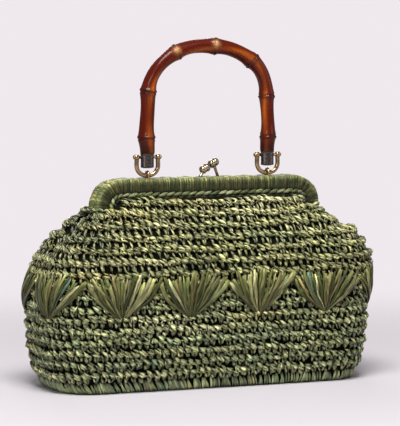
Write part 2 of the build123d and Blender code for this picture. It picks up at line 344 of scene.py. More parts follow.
def add_node(tree, kind, settings=(), values=(), links=()):
    """Add one shader node, set its settings and socket values, and link its sockets from other outputs."""
    node = tree.nodes.new(kind)
    for name, value in dict(settings).items():
        setattr(node, name, value)
    for socket, value in dict(values).items():
        node.inputs[socket].default_value = value
    for socket, source in dict(links).items():
        tree.links.new(source, node.inputs[socket])
    return node


def new_material(name):
    """Empty node material, with its tree and its output node."""
    material = bpy.data.materials.new(name)
    material.use_nodes = True
    material.node_tree.nodes.clear()
    return material, material.node_tree, add_node(material.node_tree, "ShaderNodeOutputMaterial")


def raffia_material(name, low_rough, high_rough, relief, gloss_level):
    """Viscose raffia: ribbons of cellulose film, pleated lengthwise, dyed in the strand.

    The film gives a silky gloss, fine streaks along the strand and a colour that shifts from strand to
    strand. The streaks are the pleats' bumps and their painted light and shade. The colour comes from the
    strand's own dye, with light and shade painted in, and its streaks from its own fibre places.
    """
    material, tree, output = new_material(name)
    dye_and_painted_light = add_node(tree, "ShaderNodeAttribute", {"attribute_name": "dye_and_painted_light"})
    fibre = add_node(tree, "ShaderNodeAttribute", {"attribute_name": "fibre"})
    # Pleats are about 0.6 mm apart, drawn 1.2 mm apart so that they show, as bumps and as painted light and
    # shade. The dye drifts every 6 mm or so.
    pleat_place = add_node(
        tree, "ShaderNodeMapping", {}, {"Scale": (0.85, 0.85, 0.11)}, {"Vector": fibre.outputs["Vector"]}
    )
    pleats = add_node(
        tree,
        "ShaderNodeTexNoise",
        {},
        {"Scale": 1.0, "Detail": 3.0, "Roughness": 0.6},
        {"Vector": pleat_place.outputs["Vector"]},
    )
    patch_place = add_node(
        tree, "ShaderNodeMapping", {}, {"Scale": (0.2, 0.2, 0.16)}, {"Vector": fibre.outputs["Vector"]}
    )
    patches = add_node(
        tree,
        "ShaderNodeTexNoise",
        {},
        {"Scale": 1.0, "Detail": 1.0},
        {"Vector": patch_place.outputs["Vector"]},
    )
    # Painted light and shade of the pleats: their colour runs from 0.35 to 1.6 times the dye.
    shade = add_node(
        tree,
        "ShaderNodeMapRange",
        {},
        {"From Min": 0.32, "From Max": 0.68, "To Min": 0.35, "To Max": 1.6},
        {"Value": pleats.outputs["Fac"]},
    )
    drift = add_node(
        tree,
        "ShaderNodeMapRange",
        {},
        {"From Min": 0.3, "From Max": 0.7, "To Min": 0.72, "To Max": 1.25},
        {"Value": patches.outputs["Fac"]},
    )
    both = add_node(
        tree,
        "ShaderNodeMath",
        {"operation": "MULTIPLY"},
        {},
        {0: shade.outputs["Result"], 1: drift.outputs["Result"]},
    )
    tinted = add_node(
        tree,
        "ShaderNodeVectorMath",
        {"operation": "SCALE"},
        {},
        {0: dye_and_painted_light.outputs["Color"], "Scale": both.outputs["Value"]},
    )
    gloss = add_node(
        tree,
        "ShaderNodeMapRange",
        {},
        {"From Min": 0.3, "From Max": 0.7, "To Min": high_rough, "To Max": low_rough},
        {"Value": pleats.outputs["Fac"]},
    )
    bump = add_node(
        tree,
        "ShaderNodeBump",
        {},
        {"Strength": relief, "Distance": 0.0007},
        {"Height": pleats.outputs["Fac"]},
    )
    surface = add_node(
        tree,
        "ShaderNodeBsdfPrincipled",
        {},
        {"IOR": 1.5, "Specular IOR Level": gloss_level},
        {
            "Base Color": tinted.outputs["Vector"],
            "Roughness": gloss.outputs["Result"],
            "Normal": bump.outputs["Normal"],
        },
    )
    tree.links.new(surface.outputs["BSDF"], output.inputs["Surface"])
    return material


def strand_dye(generator, count, dyes, spread):
    """Colours of strands: drawn from the dyes by their shares, each made up to a spread lighter or darker."""
    codes, shares = dyes
    chosen = np.array([linear(code) for code in codes])[generator.choice(len(codes), count, p=shares)]
    return chosen * (1 + spread * either_way(generator, count, 1))


def own_fibre(generator, fibre):
    """Fibre places of strands, each strand's moved at random so that no two have the same streaks."""
    return fibre + generator.random((len(fibre), 1, 1, 3)) * FIBRE_SPREAD


def crochet_places(rows, pitch):
    """Share round the bag, height and slope length of every stitch in rows of (low height, high height).

    Each row has as many stitches as its length holds at the pitch, evenly spread, each row half a stitch on
    from the last.
    """
    shares, heights, rises = [], [], []
    for number, (low, high) in enumerate(rows):
        count = int(round(row_length(low) / pitch))
        share = (np.arange(count) + 0.5 * (number % 2)) / count
        feet, heads = (bag_point(share, np.full(count, height)) for height in (low, high))
        shares.append(share)
        heights.append(np.full(count, low))
        rises.append(np.linalg.norm(heads - feet, axis=1))
    return np.concatenate(shares), np.concatenate(heights), np.concatenate(rises)


def stitch_strands(generator, share, height, rise, loose, dyes):
    """Strands of crochet stitches, eleven to a stitch.

    In a stitch's own directions, with t from 0 to 1: four plies of the ridge lean back along the row, three
    plies of its legs run up to it from the row below, with holes between one stitch's legs and the next's,
    two knots cross the legs' tops, a thread passes behind and a stray ply lies over all. In a close row the
    legs part as a V; in a loose row they lean back too. Each strand stands away from the ground as a sine of
    t, and is widest in its middle.
    """
    count = len(share)
    t = np.linspace(0, 1, 5)
    hump = np.sin(np.pi * t)
    along, climb, out = bag_directions(share, height)
    scale = (rise / 10)[:, None]
    wave = 0.9 * np.sin(share * 55 + height) + 0.6 * np.sin(share * 141 + 3 * height)
    base = bag_point(share, height) + climb * wave[:, None]

    def vary(amount):
        return amount * either_way(generator, count, 1)

    def strand(start, end, low, proud, half_width, half_thick, bow=0.0):
        x = start[0] + vary(0.9) + (end[0] - start[0] + vary(1.3)) * t
        y = start[1] + vary(0.9) + (end[1] - start[1] + vary(1.9)) * t + bow * hump
        z = low + (proud + vary(0.3 * proud)) * np.sin(np.pi * (0.08 + 0.84 * t))
        wide = (half_width + vary(0.35 * half_width)) * (0.55 + 0.55 * hump - 0.22 * t**3)
        return x, y * scale, z, wide, half_thick * (0.55 + 0.5 * hump)

    # Each kind: start and end in the stitch, depth, height of its hump, half width and half thickness. Its
    # brightness comes last and is painted light and shade: highest for the proud ridge plies, the thin glint
    # ply and the stray ply on top, lowest for the ply and the thread that lie behind.
    close = 1 - loose
    sunk, wider = 0.6 * close, 0.3 * close
    ridge_start, ridge_end = (3.8 - 1.0 * close, 6.2 - 1.2 * close), (-3.9 + 1.0 * close, 9.6 + 0.2 * close)
    kinds = (
        (strand(ridge_start, ridge_end, 1.2, 2.9 - 0.6 * close, 1.5, 0.9), 1.9),
        (strand((4.2, 4.8 - 0.8 * close), (-3.4 + 2.4 * close, 7.6 + 0.8 * close), 0.9, 2.5, 1.4, 0.9), 1.5),
        (strand((4.2, 7.6), (-2.4, 10.2), 0.4, 2.3, 1.1, 0.8), 1.0),
        # Painted highlight: a thin ridge ply painted bright as a glint.
        (strand((2.6, 5.4 - 1.0 * close), (-3.2, 8.6), 2.3, 2.2, 0.6, 0.45), 2.0),
        (strand((0.2, -1.0), (-1.8 - 0.8 * close, 5.6), sunk - 0.7, 2.5, 1.15 + wider, 0.7), 1.3),
        (strand((0.9, -1.0), (1.8 * close, 5.6), sunk - 0.8, 2.4, 1.05 + wider, 0.7), 1.1),
        (strand((1.4, -0.8), (0.8 + 2.8 * close, 5.0), sunk - 1.2, 2.2, 0.75 + wider, 0.6), 0.7),
        (strand((-3.4, 6.8), (0.2, 4.6), 0.5, 2.4, 1.0, 0.8), 1.0),
        (strand((-0.4, 4.4), (3.4, 6.6), 0.4, 2.2, 0.95, 0.8), 0.8),
        # Painted shade: the thread behind the legs is painted nearly black.
        (strand((-3.8, 2.0), (3.8, 2.0), -2.1, 0.8, 0.7, 0.6, -0.6), 0.12),
        (strand((vary(2.6), 4.6 - 2.0 * close), (vary(3.4), 9.2), 1.9, 2.3, 0.5, 0.4), 1.9),
    )
    # Painted shade and highlight: a strand is painted dark where its ends tuck under others, and painted pale
    # along its outer crest and dark at its edges and underside.
    painted_tuck_shade = (0.12 + 1.15 * hump)[:, None]
    painted_crest_light = np.array((0.4, 1.35, 0.4, 0.4))
    # Painted shade: stitches are painted darker inside the gussets' folds, and on the slope of the left end,
    # which faces away from the light.
    deep = gusset_fold(0.7 * base[:, 1] - 4, height) * smooth_step(70, 100, np.abs(base[:, 0]))
    deep = np.maximum(deep, 0.45 * smooth_step(92, 128, -base[:, 0]) * smooth_step(104, 124, height))
    # One length of raffia makes several stitches, which share its dye; lengths differ little.
    lengths = strand_dye(generator, count // LENGTH_STITCHES + 1, dyes, 0.25)
    tone = (0.4 * lengths + 0.6 * lengths.mean(0))[np.arange(count) // LENGTH_STITCHES]
    parts = []
    for (x, y, z, half_width, half_thick), brightness in kinds:
        x, y, z, half_width, half_thick = np.broadcast_arrays(x, y, z, half_width, half_thick)
        centre = base[:, None] + along[:, None] * x[..., None]
        centre = centre + climb[:, None] * y[..., None] + out[:, None] * z[..., None]
        tilted = out[:, None] + along[:, None] * vary(0.6)[..., None]
        points, fibre = tubes(centre, tilted, half_width, half_thick, 4)
        fibre = own_fibre(generator, fibre)
        own = strand_dye(generator, count, dyes, 0.25)
        shade = 1.06 * brightness * np.exp(0.27 * generator.standard_normal((count, 1)))
        # Painted shade of the folds and of the left end.
        shade = shade * (1 - 0.75 * deep[:, None])
        dye_and_painted_light = ((0.65 * tone + 0.35 * own) * shade)[:, None, None]
        dye_and_painted_light = dye_and_painted_light * painted_tuck_shade[..., None] * painted_crest_light[:, None]
        parts.append((points, quads_of_tubes(points), dye_and_painted_light, fibre))
    return joined(parts)


# Sizes and colours that a user would change.


class RaffiaBagSizes(bpy.types.PropertyGroup):
    """Sizes of the bag's raffia and of the picture."""

    stitch_pitch: bpy.props.FloatProperty(
        name="Stitch pitch",
        description="Length of one stitch along its row",
        default=0.0072,
        unit="LENGTH",
    )
    winding_pitch: bpy.props.FloatProperty(
        name="Winding pitch",
        description="Width of one turn of the frame's winding",
        default=0.0013,
        unit="LENGTH",
    )
    plait_pitch: bpy.props.FloatProperty(
        name="Plait pitch",
        description="Length of one stitch of the plaited edge",
        default=0.0074,
        unit="LENGTH",
    )
    fan_strands: bpy.props.IntProperty(name="Fan strands", description="Long strands in one fan", default=26)
    view_turn: bpy.props.FloatProperty(
        name="View turn",
        description="Turn of the camera round the bag from the front",
        default=float(np.radians(-22.2)),
        subtype="ANGLE",
    )


class RaffiaBagColours(bpy.types.PropertyGroup):
    """Colours of the bag's plain materials."""

    ground: bpy.props.FloatVectorProperty(
        name="Ground",
        description="Shaded raffia behind the stitches",
        subtype="COLOR",
        default=linear("#070803"),
    )
    lining: bpy.props.FloatVectorProperty(
        name="Lining",
        description="Cotton lining",
        subtype="COLOR",
        default=linear("#a89a78"),
    )
    board: bpy.props.FloatVectorProperty(
        name="Board",
        description="Grey board of the base",
        subtype="COLOR",
        default=linear("#8a7a60"),
    )
    steel: bpy.props.FloatVectorProperty(
        name="Frame steel",
        description="Nickel-plated frame strip",
        subtype="COLOR",
        default=linear("#b9b4a8"),
    )
    gold: bpy.props.FloatVectorProperty(
        name="Gold tone",
        description="Worn gold plating",
        subtype="COLOR",
        default=linear("#b89a76"),
    )
    clasp: bpy.props.FloatVectorProperty(
        name="Clasp",
        description="Pale plating of the clasp",
        subtype="COLOR",
        default=linear("#b0a088"),
    )
    ferrule: bpy.props.FloatVectorProperty(
        name="Ferrule",
        description="Dark nickel of the end blocks",
        subtype="COLOR",
        default=linear("#5c5550"),
    )
    backdrop: bpy.props.FloatVectorProperty(
        name="Backdrop",
        description="Pale paper sweep",
        subtype="COLOR",
        default=linear("#efe9ee"),
    )


# Dyes of the raffia, and the share of strands that has each.
PALE_ROWS = (
    ("#5f6038", "#707046", "#86845a", "#a09c74", "#4b502d", "#566441", "#405c48", "#746637"),
    (0.22, 0.22, 0.16, 0.1, 0.14, 0.07, 0.03, 0.06),
)
GREEN_ROWS = (
    ("#5e623d", "#6e714b", "#82855f", "#505938", "#566a4d", "#44624f", "#786a3d", "#9f9c76"),
    (0.22, 0.24, 0.16, 0.14, 0.08, 0.03, 0.06, 0.07),
)
FOOT_ROW = (
    ("#626c45", "#727b54", "#577056", "#868a62", "#4b583a", "#7c7048"),
    (0.28, 0.26, 0.1, 0.18, 0.12, 0.06),
)
FAN_DYES = (
    ("#4e5228", "#5f6036", "#424821", "#6e6d43", "#465b48", "#665d38", "#8a8861"),
    (0.26, 0.24, 0.18, 0.14, 0.05, 0.06, 0.07),
)
WINDING_DYES = (
    ("#434526", "#4e4e2c", "#373c20", "#5b5933", "#3d472b"),
    (0.3, 0.25, 0.2, 0.15, 0.1),
)
PLAIT_DYES = (
    ("#5f6540", "#6d724c", "#4e5636", "#828260", "#54614a"),
    (0.3, 0.26, 0.2, 0.14, 0.1),
)
# Brown, amber, pale scar and dark node of the cane.
CANE_STAINS = ("#4d1102", "#ad5410", "#c08a58", "#120402")


def shaded_raffia_material(colour):
    """Shaded raffia: the same film, knotted, and painted dark and matt as the shade behind the stitches."""
    material, tree, output = new_material("shaded_raffia")
    place = add_node(tree, "ShaderNodeTexCoord")
    # Knots are about 4 mm apart.
    knots = add_node(
        tree, "ShaderNodeTexVoronoi", {}, {"Scale": 250.0}, {"Vector": place.outputs["Object"]}
    )
    tint = add_node(
        tree,
        "ShaderNodeMix",
        {"data_type": "RGBA"},
        {6: (*colour, 1), 7: (*(2.6 * c for c in colour), 1)},
        {"Factor": knots.outputs["Distance"]},
    )
    bump = add_node(
        tree,
        "ShaderNodeBump",
        {"invert": True},
        {"Strength": 0.6, "Distance": 0.0015},
        {"Height": knots.outputs["Distance"]},
    )
    surface = add_node(
        tree,
        "ShaderNodeBsdfPrincipled",
        {},
        {"Roughness": 1.0, "Specular IOR Level": 0.1},
        {"Base Color": tint.outputs[2], "Normal": bump.outputs["Normal"]},
    )
    tree.links.new(surface.outputs["BSDF"], output.inputs["Surface"])
    return material


class RAFFIA_OT_ground(bpy.types.Operator):
    """Inner side of the crochet, painted dark as the shade seen through the gaps between stitches"""

    bl_idname = "raffia.ground"
    bl_label = "Crochet Ground"

    def execute(self, context):
        material = shaded_raffia_material(context.scene.raffia_bag_colours.ground)
        # A shell: up the outside with a swell on every row, over the rim and down the inside to the floor.
        inner_rings, thick = 40, 5.6
        share = (np.arange(BAG_SIDES) + 0.5) / BAG_SIDES
        outside = np.linspace(0, MOUTH_HEIGHT, 5 * (WALL_ROWS + ROOF_ROWS) + 1)
        wall_phase = outside / ROW_PITCH
        roof_phase = (outside - SHOULDER_HEIGHT) / ROOF_PITCH
        phase = np.where(outside < SHOULDER_HEIGHT, wall_phase, roof_phase)
        swell = -1.3 + 0.9 * np.abs(np.sin(np.pi * phase))
        inside = np.linspace(MOUTH_HEIGHT, 5, inner_rings)
        height = np.concatenate((outside, inside))[:, None]
        growth = np.concatenate((swell, np.full(inner_rings, -thick)))[:, None]
        rim_x = np.abs(bag_point(share, MOUTH_HEIGHT)[:, 0])
        notch = smooth_step(GUSSET_NOTCH_X - 4, GUSSET_NOTCH_X + 4, rim_x)
        rim = GUSSET_TOP + (MOUTH_HEIGHT - GUSSET_TOP) * (1 - notch)
        squeeze = (rim - SHOULDER_HEIGHT) / (MOUTH_HEIGHT - SHOULDER_HEIGHT)
        above = height - SHOULDER_HEIGHT
        height = np.where(above > 0, SHOULDER_HEIGHT + above * squeeze, height)
        points = bag_point(share[None], height, growth)[None]
        ground = put_piece("crochet_ground", material, points, quads_of_tubes(points))
        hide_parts("crochet_body")
        turn_with_frame(ground)
        return {"FINISHED"}


class RAFFIA_OT_stitches(bpy.types.Operator):
    """Rows of crochet stitches on the wall and the roof"""

    bl_idname = "raffia.stitches"
    bl_label = "Crochet Stitches"

    def execute(self, context):
        pitch = context.scene.raffia_bag_sizes.stitch_pitch / MM
        raffia = raffia_material("crocheted_raffia", 0.2, 0.4, 0.5, 0.6)
        wall = [(ROW_PITCH * n, ROW_PITCH * (n + 1)) for n in range(WALL_ROWS)]
        # The last row stops short of the frame, where a dark line shows.
        roof_heights = np.linspace(SHOULDER_HEIGHT, MOUTH_HEIGHT - 4, ROOF_ROWS + 1)
        roof = list(zip(roof_heights[:-1], roof_heights[1:]))
        # Name, rows, dyes, how loose the stitches are and the seed of their variety.
        groups = (
            ("low_wall_stitches", wall[1:5], GREEN_ROWS, 0.25, 11),
            ("high_wall_stitches", wall[5:9], GREEN_ROWS, 0.45, 12),
            ("shoulder_stitches", wall[9:], PALE_ROWS, 0.7, 13),
            ("low_roof_stitches", roof[:3], PALE_ROWS, 1.0, 14),
            ("high_roof_stitches", roof[3:], PALE_ROWS, 1.0, 15),
        )
        for name, rows, dyes, loose, seed in groups:
            generator = np.random.default_rng(seed)
            share, height, rise = crochet_places(rows, pitch)
            # Only short stitches are worked on top of the gussets, where the frame's legs stand.
            beyond = (height > 156) & (np.abs(bag_point(share, height)[:, 0]) > GUSSET_NOTCH_X + 6)
            rise = np.where(beyond, 2.6, rise)
            strands = stitch_strands(generator, share, height + 1.2, rise, loose, dyes)
            piece = put_piece(name, raffia, *strands)
            if "roof" in name:
                turn_with_frame(piece)
            else:
                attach(piece, "bag")
        self.foot_row(raffia)
        return {"FINISHED"}

    def foot_row(self, raffia):
        """Foot row: upright strands side by side, each bowing out as a sine and leaning a little."""
        generator = np.random.default_rng(21)
        around, strand_pitch = row_length(3.0), 2.7
        count = int(round(around / strand_pitch))
        share = np.arange(count) / count
        t = np.linspace(0, 1, 6)
        vary = either_way(generator, count, 4)
        height = 0.9 + (9.4 + 1.3 * vary[:, :1]) * t
        lean = (-3.0 + 2.4 * vary[:, 1:2]) * t / around
        place = share[:, None] + lean
        _, _, out = bag_directions(place, height)
        lift = -0.6 + (2.0 + 0.4 * vary[:, 2:3]) * np.sin(np.pi * (0.1 + 0.8 * t))
        centre = bag_point(place, height) + out * lift[..., None]
        half_width = (1.2 + 0.45 * vary[:, 3:4]) * (0.7 + 0.35 * np.sin(np.pi * t))
        points, fibre = tubes(centre, out, half_width, 0 * half_width + 0.9)
        fibre = own_fibre(generator, fibre)
        # Painted light: the foot row, which faces down into shade, is painted 1.15 times lighter.
        shade = 1.15 * np.exp(0.3 * generator.standard_normal((count, 1)))
        # Painted shade: each strand is painted darker at its foot and at its tip, where it tucks under, and
        # lighter where it bows out.
        painted_tuck_shade = (0.75 + 0.6 * np.sin(np.pi * t) - 0.3 * t**3)[:, None, None]
        own = strand_dye(generator, count, FOOT_ROW, 0.25)
        dye_and_painted_light = ((0.5 * own + 0.5 * own.mean(0)) * shade)[:, None, None] * painted_tuck_shade
        piece = put_piece("foot_stitches", raffia, points, quads_of_tubes(points), dye_and_painted_light, fibre)
        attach(piece, "bag")


class RAFFIA_OT_fans(bpy.types.Operator):
    """Fans of long stitches round the wall"""

    bl_idname = "raffia.fans"
    bl_label = "Long-stitch Fans"

    def execute(self, context):
        strands = context.scene.raffia_bag_sizes.fan_strands
        generator = np.random.default_rng(31)
        raffia = raffia_material("long_stitch_raffia", 0.24, 0.45, 0.7, 0.28)
        count = FAN_COUNT * strands
        t = np.linspace(0, 1, 10)
        fan = np.repeat((np.arange(FAN_COUNT) + 0.5) / FAN_COUNT, strands)
        vary = either_way(generator, count, 8)
        spread = np.tile(np.linspace(-1, 1, strands), FAN_COUNT) + 0.05 * vary[:, 0]
        # Each strand runs from the foot to its place along the top, and the outer ones bow a little wider.
        bend = 0.1 + 0.1 * vary[:, 6:7]
        at_top, at_foot = (FAN_REACH * spread)[:, None], (FAN_WAIST * spread)[:, None]
        reach = at_top * (t + bend * np.sin(np.pi * t)) + at_foot * (1 - t)
        top = FAN_TOP - 4.5 * spread**2 + 4.2 * vary[:, 1]
        height = FAN_FOOT + (top - FAN_FOOT)[:, None] * t
        wrinkle = 0.8 * np.sin(2 * np.pi * (1.4 * t + vary[:, 0:1])) * np.sin(np.pi * t)
        share = fan[:, None] + (reach + wrinkle) / row_length(80.0)
        along, _, out = bag_directions(share, height)
        layer = (1.3 * (np.arange(count) % 2) + 0.9 * vary[:, 2])[:, None]
        lift = 1.8 + (3.6 + layer) * np.sin(np.pi * (0.06 + 0.8 * t)) ** 0.8
        centre = bag_point(share, height) + out * lift[..., None]
        # Widest four fifths of the way up, then drawn to a ragged point.
        wide = (1.6 + 0.6 * vary[:, 3:4]) * (0.2 + 0.85 * np.sin(0.5 * np.pi * np.minimum(t / 0.8, 1)))
        half_width = wide * (1 - (0.4 + 0.4 * vary[:, 4:5]) * np.clip((t - 0.86) / 0.14, 0, 1) ** 1.6)
        half_thick = np.broadcast_to(0.75 + 0.2 * np.sin(np.pi * t) - 0.35 * t**4, half_width.shape)
        tilted = out + along * (0.55 * vary[:, 7:8])[..., None]
        points, fibre = tubes(centre, tilted, half_width, half_thick, 8, 0.6)
        fibre = own_fibre(generator, fibre)
        tone = np.repeat(0.8 + 0.3 * generator.random(FAN_COUNT), strands) * np.exp(0.45 * vary[:, 5])
        dye_and_painted_light = (strand_dye(generator, count, FAN_DYES, 0.2) * tone[:, None])[:, None, None]
        # Painted highlight and shade: each strand is painted pale on its outer face and dark at its edges and
        # underside. Along it, it is darker towards the foot and much paler at the tip.
        painted_crest_light = np.array((0.25, 0.85, 1.0, 0.85, 0.25, 0.2, 0.2, 0.2))
        dye_and_painted_light = dye_and_painted_light * (0.75 + 0.35 * t + 1.2 * t**6)[:, None, None] * painted_crest_light[:, None]
        piece = put_piece("long_stitch_fans", raffia, points, quads_of_tubes(points), dye_and_painted_light, fibre)
        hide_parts(*[f"fan_{number:02d}" for number in range(1, FAN_COUNT + 1)])
        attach(piece, "bag")
        return {"FINISHED"}


def frame_line(run):
    """Point and outward direction of the U-shaped frame at a run along it from its left foot, and its length.

    Up the left leg, a quarter turn, across the top, a quarter turn and down the right leg.
    """
    leg = FRAME_AXIS - FRAME_CORNER - WRAP_END
    quarter = FRAME_CORNER * np.pi / 2
    top = 2 * (FRAME_HALF_WIDTH - FRAME_CORNER)
    first, second = leg, leg + quarter + top
    angle = (np.clip(run - first, 0, quarter) + np.clip(run - second, 0, quarter)) / FRAME_CORNER
    centre_x = -FRAME_HALF_WIDTH + FRAME_CORNER + np.clip(run - first - quarter, 0, top)
    centre_z = WRAP_END + np.clip(run, 0, leg) - np.clip(run - second - quarter, 0, leg)
    away = np.stack((-np.cos(angle), 0 * angle, np.sin(angle)), -1)
    centre = np.stack((centre_x, 0 * angle, centre_z), -1)
    return centre + away * FRAME_CORNER, away, 2 * leg + 2 * quarter + top


class RAFFIA_OT_winding(bpy.types.Operator):
    """Close winding and plaited edge on both halves of the frame"""

    bl_idname = "raffia.winding"
    bl_label = "Frame Winding"

    def execute(self, context):
        sizes = context.scene.raffia_bag_sizes
        raffia = raffia_material("wound_raffia", 0.32, 0.5, 0.5, 0.22)
        for side, name, body in ((-1, "front_frame_wrap", "bag"), (1, "rear_frame_wrap", "rear_frame")):
            generator = np.random.default_rng(41 + side)
            wound = self.wound(generator, side, sizes.winding_pitch / MM)
            plaited = self.plaited(generator, side, sizes.plait_pitch / MM)
            piece = put_piece(name.replace("wrap", "winding"), raffia, *joined((wound, plaited)))
            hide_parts(name)
            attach(piece, body)
        return {"FINISHED"}

    def wound(self, generator, side, pitch):
        """Winding: a rounded rectangle carried along the bar, raised as a sine on every turn of raffia.

        The turns slant a little round the bar, and slow sines make them uneven.
        """
        _, _, length = frame_line(np.array([0.0]))
        turns = int(length / pitch)
        sides = 24
        run = np.linspace(0, length, turns * 5 + 1)
        turn = full_turn(sides)
        slanted = run[:, None] + 0.9 * np.sin(turn) + 0.5 * np.sin(0.23 * run[:, None])
        slanted = slanted + 0.35 * np.sin(1.9 * run[:, None] + np.cos(2 * turn))
        raised = np.abs(np.sin(np.pi * slanted * turns / length))
        ridge = 0.4 * raised
        ridge = ridge + 0.3 * np.sin(slanted * 0.31 + 2 * np.cos(turn))
        ridge = ridge + 0.15 * np.sin(slanted * 0.83 + np.sin(turn))
        squareness = (np.abs(np.cos(turn)) ** 4 + np.abs(np.sin(turn)) ** 4) ** -0.25
        ends = 1 - 0.25 * (smooth_step(3, 0, run) + smooth_step(length - 3, length, run))[:, None]
        across = ((WOUND_HALF_WIDTH + ridge) * ends) * squareness * np.cos(turn)
        deep = ((WOUND_HALF_DEPTH + 0.5 * ridge) * ends) * squareness * np.sin(turn)
        line, away, _ = frame_line(run)
        points = line[:, None] + side * FRAME_OFFSET * DEPTHWAYS + away[:, None] * across[..., None]
        points = (points + DEPTHWAYS * deep[..., None])[None]
        number = np.floor(slanted * turns / length).astype(int) % (turns + 1)
        tones = strand_dye(generator, turns + 1, WINDING_DYES, 0.35)
        # Painted light and shade: painted pale on top of the frame, where the light falls, dark just above
        # the plait, and darkest between the turns, where shade falls.
        painted_light_and_shade = 0.8 + 2.8 * smooth_step(0.35, 0.8, np.cos(turn))
        painted_light_and_shade = painted_light_and_shade - 0.6 * smooth_step(0.1, 0.5, -np.cos(turn))
        dye_and_painted_light = tones[number] * ((0.05 + 1.1 * raised) * painted_light_and_shade)[..., None]
        fibre = np.stack((slanted, deep, 12 * turn + 0 * deep), -1) + number[..., None] * 3.7
        return points, quads_of_tubes(points), dye_and_painted_light[None], fibre[None]

    def plaited(self, generator, side, pitch):
        """Plaited edge: leaning leaves of raffia, each over the next, and below them a row painted dark as
        the shadow under the plait.

        Each leaf climbs evenly along its length. As a sine, it is widest and stands out most in its middle.
        """
        _, _, length = frame_line(np.array([0.0]))
        count = int((length - 2 * PLAIT_MARGIN) / pitch)
        t = np.linspace(0, 1, 7)
        hump = np.sin(np.pi * t)
        # Foot, climb, hump, half width, brightness and shift along the edge of each row. The second row is
        # painted dark as the shadow under the plait.
        rows = ((-8.0, 3.2, 1.9, 1.7, 1.0, 0.0), (-10.1, 0.4, 0.5, 1.9, 0.16, 0.5))
        leaves = []
        for foot, rise, proud, widest, dark, shift in rows:
            vary = either_way(generator, count, 4, 1)
            start = PLAIT_MARGIN + pitch * (np.arange(count)[:, None] + shift) + 0.6 * vary[:, 0]
            edge, away, _ = frame_line(start + (pitch + 3.0) * (t - 0.5))
            level = foot + 0.3 * vary[:, 1] + rise * t
            # The leaves start just under the winding's face.
            stand = side * (FRAME_OFFSET + WOUND_HALF_DEPTH - 0.1 + (proud + 0.3 * vary[:, 2]) * hump)
            centre = edge + away * level[..., None] + DEPTHWAYS * stand[..., None]
            half_width = (widest + 0.3 * vary[:, 3]) * (0.3 + 0.8 * hump)
            points, fibre = tubes(centre, side * DEPTHWAYS, half_width, 0.75 * half_width)
            fibre = own_fibre(generator, fibre)
            dye_and_painted_light = strand_dye(generator, count, PLAIT_DYES, 0.3)[:, None, None] * dark
            leaves.append((points, quads_of_tubes(points), dye_and_painted_light, fibre))
        return joined(leaves)


def plated_material(name, colour, low_rough, high_rough, scratch):
    """Plated metal, polished and then worn by handling.

    The polish gives sharp reflections, and fine scratches and finger wear make them soft in patches.
    """
    material, tree, output = new_material(name)
    place = add_node(tree, "ShaderNodeTexCoord")
    # Wear comes in patches of about 3 mm and scratches of about 0.4 mm.
    wear = add_node(
        tree, "ShaderNodeTexNoise", {}, {"Scale": 330.0, "Detail": 4.0}, {"Vector": place.outputs["Object"]}
    )
    fine = add_node(
        tree, "ShaderNodeTexNoise", {}, {"Scale": 2500.0, "Detail": 2.0}, {"Vector": place.outputs["Object"]}
    )
    rough = add_node(
        tree,
        "ShaderNodeMapRange",
        {},
        {"From Min": 0.35, "From Max": 0.65, "To Min": low_rough, "To Max": high_rough},
        {"Value": wear.outputs["Fac"]},
    )
    tint = add_node(
        tree,
        "ShaderNodeMix",
        {"data_type": "RGBA"},
        {6: (*(0.62 * c for c in colour), 1), 7: (*colour, 1)},
        {"Factor": wear.outputs["Fac"]},
    )
    bump = add_node(
        tree,
        "ShaderNodeBump",
        {},
        {"Strength": scratch, "Distance": 0.0001},
        {"Height": fine.outputs["Fac"]},
    )
    surface = add_node(
        tree,
        "ShaderNodeBsdfPrincipled",
        {},
        {"Metallic": 1.0},
        {
            "Base Color": tint.outputs[2],
            "Roughness": rough.outputs["Result"],
            "Normal": bump.outputs["Normal"],
        },
    )
    tree.links.new(surface.outputs["BSDF"], output.inputs["Surface"])
    return material


def bent_wire(line, out, radius, sides=12):
    """Round wire carried along one line of points."""
    half = np.full((1, len(line)), radius)
    points, _ = tubes(line[None], np.asarray(out, float), half, half, sides)
    return points, quads_of_tubes(points), np.zeros(3), np.zeros(3)


def turned_part(start, direction, positions, radii, sides=16):
    """Turned shape as one closed part: rings of the given radii at positions along a direction."""
    direction = unit(np.asarray(direction, float))
    centre = np.asarray(start, float) + direction * np.asarray(positions, float)[:, None]
    helper = (0.0, 0.0, 1.0) if abs(direction[2]) < 0.9 else (1.0, 0.0, 0.0)
    across = unit(np.cross(helper, direction))
    away = np.cross(direction, across)
    turn = full_turn(sides)
    ring = across * np.cos(turn)[:, None] + away * np.sin(turn)[:, None]
    points = (centre[:, None] + ring * np.asarray(radii, float)[:, None, None])[None]
    return points, quads_of_tubes(points), np.zeros(3), np.zeros(3)


def dome(length, radius, count=5):
    """Positions and radii of a quarter ellipse that rises from a point to a full radius over a length."""
    turn = np.linspace(0.12, np.pi / 2, count)
    return length * (1 - np.cos(turn)), radius * np.sin(turn)


